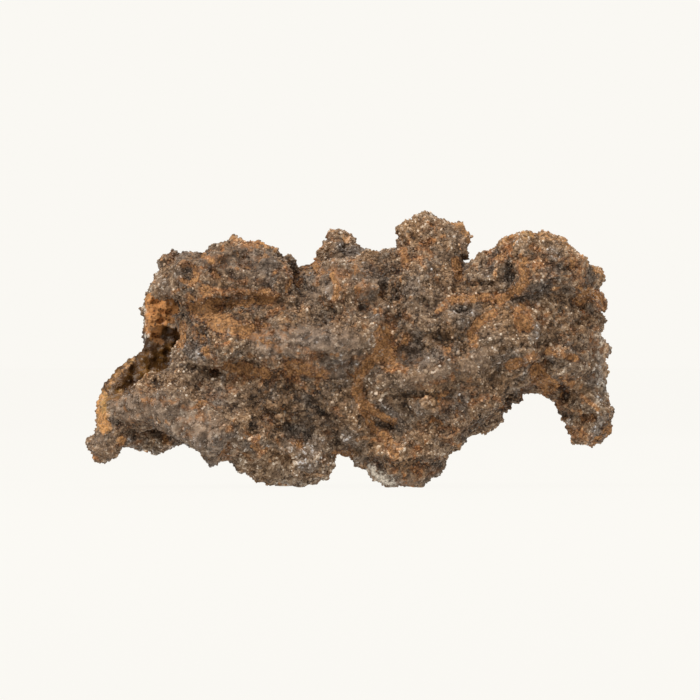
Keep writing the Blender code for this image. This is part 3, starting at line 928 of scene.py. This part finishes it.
sandLook = {
    # what lifts or lowers a grain's tone and warmth: the shade strokes carry painted shade and painted
    # light, the hollows get painted shade, and the top-facing skin gets painted light, lighter and warmer
    "shadeTone": 0.4,
    "hollowShadeTone": -0.3,
    "topLightTone": 0.08,
    "lightsTone": 0.4,
    "baseTone": -0.2,
    "stretchWarmth": 2.3,
    "grainWarmth": 0.06,
    "topLightWarmth": 0.2,
    "baseWarmth": -0.79,
    "coolEdges": (0.51, 0.62),
    "blotEdges": (0.38, 0.62),
    "dustCover": 0.75,
}


def makeSandColour():
    # a grain's colour from its own tone and from where it is: grey and tan stretches, painted shade in the
    # hollows, and painted light on the top-facing skin
    look = sandLook
    ins = {"Tone": 0.5, "Warmth": 0.5, "Shade": 0.0, "Sunk": 0.0, "Up": 0.0, "Dust": 0.0}
    group, given, out = newGroup("sandColour", ins, ["Color"])
    where = ownPlace(group)
    # tone: lowered in hollows as painted shade, lifted on the top-facing skin as painted light
    tone = added(
        group, given["Tone"], times(group, given["Shade"], look["shadeTone"]),
        times(group, given["Sunk"], look["hollowShadeTone"]), times(group, given["Up"], look["topLightTone"]),
        times(group, noiseOf(group, where, "lights"), look["lightsTone"]), look["baseTone"],
    )
    # warmth: the top-facing skin is painted warmer, as painted light on the tops
    warmth = added(
        group, times(group, noiseOf(group, where, "warmStretches"), look["stretchWarmth"]),
        times(group, given["Warmth"], look["grainWarmth"]), times(group, given["Up"], look["topLightWarmth"]),
        look["baseWarmth"],
    )
    grey, tan = ramp(group, tone, colours["greySand"]), ramp(group, tone, colours["tanSand"])
    sand = mixed(group, ranged(group, warmth, 0.0, 1.0), grey, tan)
    cool = ranged(group, noiseOf(group, where, "coolStretches"), *look["coolEdges"])
    sand = mixed(group, cool, sand, colours["slate"], "MULTIPLY")
    blots = ranged(group, noiseOf(group, where, "dustBlots"), *look["blotEdges"])
    dust = mixed(group, blots, colours["darkDust"], colours["paleDust"])
    group.links.new(mixed(group, times(group, given["Dust"], look["dustCover"]), sand, dust), out["Color"])
    return group


clayLook = {
    "bendScale": 150.0,
    "bend": 4 * mm,
    "marks": 0.84,
    "clouds": 0.55,
    "cloudEdges": (0.36, 0.64),
    "specks": 0.22,
    "speckEdges": (0.38, 0.62),
    "settled": 0.33,
    "settledEdges": (0.40, 0.64),
    "hollows": 0.5,
    "stain": 0.7,
    "stainEdges": (0.60, 1.1),
    "flecks": 0.9,
    "fleckEdges": (0.58, 0.70),
    "fleckAreas": (0.36, 0.54),
    "clayEdges": (1.03, 1.17),
    "tintEdges": (0.55, 0.95),
    "mottleEdges": (0.34, 0.66),
    "mottle": (0.5, 1.3),
}


def makeClayWash():
    # lays clay over a colour, broken up by clouds, with a stain and flecks around it
    look = clayLook
    ins = {"Color": None, "Amount": 0.0, "Sunk": 0.0, "Cover": 1.0}
    group, given, out = newGroup("clayWash", ins, ["Color"])
    where = ownPlace(group)
    ins = {"Vector": where, "Scale": look["bendScale"], "Detail": 2.0}
    bend = put(group, "ShaderNodeTexNoise", ins).outputs["Color"]
    ins = {0: bend, 1: (look["bend"], look["bend"], look["bend"])}
    bent = put(group, "ShaderNodeVectorMath", ins, operation="MULTIPLY").outputs[0]
    bent = put(group, "ShaderNodeVectorMath", {0: where, 1: bent}, operation="ADD").outputs[0]
    broad = noiseOf(group, bent, "clayBroad")
    fine = noiseOf(group, where, "clayFine")
    wide = noiseOf(group, bent, "clayWide")
    total = added(
        group, times(group, given["Amount"], look["marks"]),
        times(group, ranged(group, broad, *look["cloudEdges"]), look["clouds"]),
        times(group, ranged(group, fine, *look["speckEdges"]), look["specks"]),
        times(group, ranged(group, wide, *look["settledEdges"]), look["settled"]),
        times(group, given["Sunk"], look["hollows"]),
    )
    stain = times(group, ranged(group, total, *look["stainEdges"]), look["stain"])
    stained = mixed(group, stain, given["Color"], colours["stain"], "MULTIPLY")
    flecks = times(
        group, ranged(group, noiseOf(group, bent, "clayFlecks"), *look["fleckEdges"]),
        ranged(group, wide, *look["fleckAreas"]),
    )
    flecks = times(group, flecks, maths(group, "SUBTRACT", look["flecks"], stain))
    stained = mixed(group, flecks, stained, colours["fleck"], "MULTIPLY")
    pale = ranged(group, added(group, fine, times(group, broad, 0.5)), *look["tintEdges"])
    tint = mixed(group, pale, colours["clay"], colours["paleClay"])
    mottle = ranged(group, noiseOf(group, where, "clayMottle"), *look["mottleEdges"], *look["mottle"])
    tint = mixed(group, 1.0, tint, mottle, "MULTIPLY")
    mask = times(group, ranged(group, total, *look["clayEdges"]), given["Cover"])
    group.links.new(mixed(group, mask, stained, tint), out["Color"])
    return group


glassLook = {
    "clouds": 0.5,
    "breaks": 0.4,
    "breakEdges": (0.35, 0.65),
    "milkBreaks": 1.6,
    "amberEdges": (0.62, 1.12),
    "milkEdges": (0.75, 1.4),
    "honeyEdges": (0.50, 0.66),
    "speckEdges": (0.36, 0.6),
    "specks": (0.45, 1.2),
}


def makeGlassMarks():
    # lays broken amber glass and milky glass over a colour, and tells where they lie
    look = glassLook
    ins = {"Color": None, "Amber": 0.0, "Pale": 0.0}
    group, given, out = newGroup("glassMarks", ins, ["Color", "Mask"])
    where = ownPlace(group)
    clouds = times(group, noiseOf(group, where, "glassClouds"), look["clouds"])
    breaks = ranged(group, noiseOf(group, where, "glassBreaks"), *look["breakEdges"])
    breaks = times(group, breaks, look["breaks"])
    amber = ranged(group, added(group, given["Amber"], breaks, clouds), *look["amberEdges"])
    breaks = times(group, breaks, look["milkBreaks"])
    pale = ranged(group, added(group, given["Pale"], breaks, clouds), *look["milkEdges"])
    honey = ranged(group, noiseOf(group, where, "honey"), *look["honeyEdges"])
    honey = mixed(group, honey, colours["brokenAmber"], colours["brokenHoney"])
    specks = ranged(group, noiseOf(group, where, "glassSpecks"), *look["speckEdges"], *look["specks"])
    honey = mixed(group, 1.0, honey, specks, "MULTIPLY")
    milk = mixed(group, 1.0, colours["milk"], specks, "MULTIPLY")
    whole = mixed(group, amber, given["Color"], honey)
    group.links.new(mixed(group, pale, whole, milk), out["Color"])
    group.links.new(maths(group, "MAXIMUM", amber, pale), out["Mask"])
    return group


sandColour, clayWash, glassMarks = makeSandColour(), makeClayWash(), makeGlassMarks()


def clayedSand(tree, tone, warmth, cover):
    # sand with clay on it, by the marks on the mesh
    sunk = attribute(tree, "sunk")
    sand = useGroup(tree, sandColour, {
        "Tone": tone, "Warmth": warmth, "Shade": attribute(tree, "shade"), "Sunk": sunk,
        "Up": attribute(tree, "up"), "Dust": attribute(tree, "dust"),
    })
    return useGroup(tree, clayWash, {
        "Color": sand["Color"], "Amount": attribute(tree, "clay"), "Sunk": sunk, "Cover": cover,
    })["Color"]


wallLook = {
    "mottleEdges": (0.3, 0.65),
    "mottle": (0.35, 1.0),
    "levelClouds": 5 * mm,
    "frothLevel": (19.5 * mm, 22.5 * mm),
    "froth": 0.8,
    "rustClouds": 0.9,
    "rustEdges": (0.65, 1.2),
    "depthEdges": (0.36, 0.78),
    "sunkenPores": 0.6,
}


def wallColour(tree, where, pores):
    # the channel's walls: bubbly rust-coloured glass above, dark brown glass below, and where it is rusty
    look = wallLook
    mottle = ranged(tree, noiseOf(tree, where, "wallMottle"), *look["mottleEdges"], *look["mottle"])
    # the pores' holes are darker: painted shade inside the bubbles, with the darker glass there
    froth = mixed(tree, times(tree, pores, mottle), colours["wallDark"], colours["wall"])
    height = put(tree, "ShaderNodeSeparateXYZ", {0: where}).outputs[2]
    clouds = noiseOf(tree, where, "wallClouds")
    level = added(tree, height, times(tree, clouds, look["levelClouds"]))
    rust = added(tree, attribute(tree, "rust"), times(tree, clouds, look["rustClouds"]))
    rusty = maths(
        tree, "MAXIMUM", times(tree, ranged(tree, level, *look["frothLevel"]), look["froth"]),
        ranged(tree, rust, *look["rustEdges"]),
    )
    depths = ranged(tree, noiseOf(tree, where, "wallDepths"), *look["depthEdges"])
    deep = mixed(tree, depths, colours["glass"], colours["amber"])
    # the middles of the pores darken further towards the dark glass: painted shade in the bubbles
    sunken = times(tree, maths(tree, "SUBTRACT", 1.0, pores), look["sunkenPores"])
    deep = mixed(tree, sunken, deep, colours["glass"])
    return mixed(tree, rusty, deep, froth), rusty


crustLook = {
    "cells": 2700.0,
    "smallCells": 5200.0,
    "froth": 2300.0,
    "poreEdges": (0.18, 0.42),
    "gapWidth": 0.11,
    "cellTone": 0.56,
    "smallTone": 0.34,
    "baseTone": 0.03,
    # gapTone darkens the cells' edges: painted shade between the grains, together with their darker cement;
    # dipShadeTone is painted shade in small dips
    "gapTone": -0.22,
    "dipShadeTone": -0.22,
    "wallEdges": (0.25, 0.6),
    "rustGloss": 0.2,
    "marksGloss": 0.7,
    "roughness": (0.78, 0.36),
    "specular": 0.28,
    "rimBump": 0.7,
    "smallBump": -0.4,
    "gritBump": 0.5,
    "poreBump": 0.3,
    "bump": 0.7,
    "bumpHeight": 0.12 * mm,
}


def makeCrustMaterial():
    look = crustLook
    material, tree, shader = newMaterial("fused_sand")
    where = ownPlace(tree)
    cells, small = cellsOf(tree, where, look["cells"]), cellsOf(tree, where, look["smallCells"])
    rims = cellsOf(tree, where, look["cells"], feature="DISTANCE_TO_EDGE")["Distance"]
    pores = ranged(tree, cellsOf(tree, where, look["froth"])["Distance"], *look["poreEdges"])
    own = put(tree, "ShaderNodeSeparateColor", {0: cells["Color"]}).outputs
    smaller = put(tree, "ShaderNodeSeparateColor", {0: small["Color"]}).outputs[0]
    # the cells' edges are painted darker: painted shade between the grains, together with their darker
    # cement; dip adds painted shade in small dips
    gap = ranged(tree, rims, 0.0, look["gapWidth"], 1.0, 0.0)
    tone = added(
        tree, times(tree, own[0], look["cellTone"]), times(tree, smaller, look["smallTone"]),
        look["baseTone"], times(tree, gap, look["gapTone"]),
        times(tree, attribute(tree, "dip"), look["dipShadeTone"]),
    )
    sand = clayedSand(tree, tone, own[1], 1.0)
    wall, rusty = wallColour(tree, where, pores)
    inside = attribute(tree, "inside")
    glazed = useGroup(tree, glassMarks, {
        "Color": mixed(tree, ranged(tree, inside, *look["wallEdges"]), sand, wall),
        "Amber": attribute(tree, "amber"), "Pale": attribute(tree, "pale"),
    })
    tree.links.new(glazed["Color"], shader.inputs["Base Color"])
    glassy = times(tree, ranged(tree, rusty, 0.0, 1.0, 1.0, look["rustGloss"]), inside)
    glassy = maths(tree, "MAXIMUM", glassy, times(tree, glazed["Mask"], look["marksGloss"]))
    rough = ranged(tree, glassy, 0.0, 1.0, *look["roughness"], kind="LINEAR")
    tree.links.new(rough, shader.inputs["Roughness"])
    shader.inputs["Specular IOR Level"].default_value = look["specular"]
    bumps = added(
        tree, times(tree, rims, look["rimBump"]), times(tree, small["Distance"], look["smallBump"]),
        times(tree, noiseOf(tree, where, "grit"), look["gritBump"]), times(tree, pores, look["poreBump"]),
    )
    ins = {"Strength": look["bump"], "Distance": look["bumpHeight"], "Height": bumps}
    tree.links.new(put(tree, "ShaderNodeBump", ins).outputs[0], shader.inputs["Normal"])
    return material


grainLook = {
    "tone": (0.15, 0.74),
    "brightEdges": (0.86, 1.0),
    "bright": 0.2,
    "hues": 37.0,
    "clayCover": 0.8,
    "milk": 0.6,
    "roughness": 0.45,
}


def makeGrainMaterial():
    look = grainLook
    material, tree, shader = newMaterial("sand_grains")
    own = attribute(tree, "tone")
    tone = added(
        tree, ranged(tree, own, 0.0, 1.0, *look["tone"], kind="LINEAR"),
        times(tree, ranged(tree, own, *look["brightEdges"]), look["bright"]),
    )
    hue = maths(tree, "FRACT", times(tree, own, look["hues"]))
    glazed = useGroup(tree, glassMarks, {
        "Color": clayedSand(tree, tone, hue, look["clayCover"]),
        "Amber": attribute(tree, "amber"), "Pale": times(tree, attribute(tree, "pale"), look["milk"]),
    })
    tree.links.new(glazed["Color"], shader.inputs["Base Color"])
    shader.inputs["Roughness"].default_value = look["roughness"]
    return material


def dress(pieces, material):
    for piece in pieces:
        piece.data.materials.clear()
        piece.data.materials.append(material)
        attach(piece, "root")


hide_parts("fulgurite")
dress(crusts, makeCrustMaterial())
dress(grains, makeGrainMaterial())
print("materials made")


# floor, light and camera
stageValues = {
    "white": (0.956, 0.939, 0.896, 1),
    "floor": (0.015, 0.0148, 0.014, 1),
    "floorHalfSide": 6,
    "floorGap": 0.02 * mm,
    "floorGlow": 0.985,
    "skyLight": 0.62,
    "aim": (0, 0, 15 * mm),
    "lights": {  # place, side and watts
        "key": ((-0.22, -0.30, 0.42), 0.24, 2.7),
        "back": ((0.20, 0.45, 0.30), 0.3, 1.0),
        "fill": ((0.35, -0.35, 0.12), 0.3, 0.5),
    },
    "cameraAway": 0.9,
    "stepsInView": 700,
    "eyeStep": 350,
    "sensor": 36,
}


def toCamera(tree, others, camera):
    # one value for what the camera sees, and another for the light it gives
    seen = put(tree, "ShaderNodeLightPath").outputs["Is Camera Ray"]
    return put(tree, "ShaderNodeMapRange", {0: seen, 3: others, 4: camera}).outputs[0]


def makeFloor():
    shape = bmesh.new()
    bmesh.ops.create_grid(shape, x_segments=1, y_segments=1, size=stageValues["floorHalfSide"])
    mesh = bpy.data.meshes.new("floor")
    shape.to_mesh(mesh)
    shape.free()
    floor = linked("floor", mesh)
    floor.location.z = -stageValues["floorGap"]
    material, tree, shader = newMaterial("pale_floor")
    shader.inputs["Base Color"].default_value = stageValues["floor"]
    shader.inputs["Roughness"].default_value = 1
    shader.inputs["Specular IOR Level"].default_value = 0
    shader.inputs["Emission Color"].default_value = stageValues["white"]
    tree.links.new(toCamera(tree, 1.0, stageValues["floorGlow"]), shader.inputs["Emission Strength"])
    mesh.materials.append(material)


def makeSky():
    sky = bpy.data.worlds.new("sky")
    sky.use_nodes = True
    tree = sky.node_tree
    shade = tree.nodes["Background"]
    shade.inputs["Color"].default_value = stageValues["white"]
    tree.links.new(toCamera(tree, stageValues["skyLight"], 1.0), shade.inputs["Strength"])
    scene.world = sky


def makeLights():
    aim = Vector(stageValues["aim"])
    for name, (place, side, watts) in stageValues["lights"].items():
        light = bpy.data.lights.new(name, "AREA")
        light.size, light.energy = side, watts
        lamp = linked(name, light)
        lamp.location = place
        lamp.rotation_euler = (aim - Vector(place)).to_track_quat("-Z", "Y").to_euler()


def makeCamera():
    # level and distant, with 79.4 mm in view at the object
    away, sensor = stageValues["cameraAway"], stageValues["sensor"]
    camera = bpy.data.cameras.new("camera")
    camera.sensor_width = sensor
    camera.lens = sensor * away / (stageValues["stepsInView"] * gridStep)
    camera.clip_start, camera.clip_end = 0.05, 20
    holder = linked("camera", camera)
    holder.location = (0, -away, (gridOrigin[1] - stageValues["eyeStep"]) * gridStep)
    holder.rotation_euler = Euler((math.radians(90), 0, 0))
    scene.camera = holder


makeFloor()
makeSky()
makeLights()
makeCamera()
scene.view_settings.view_transform = "Standard"
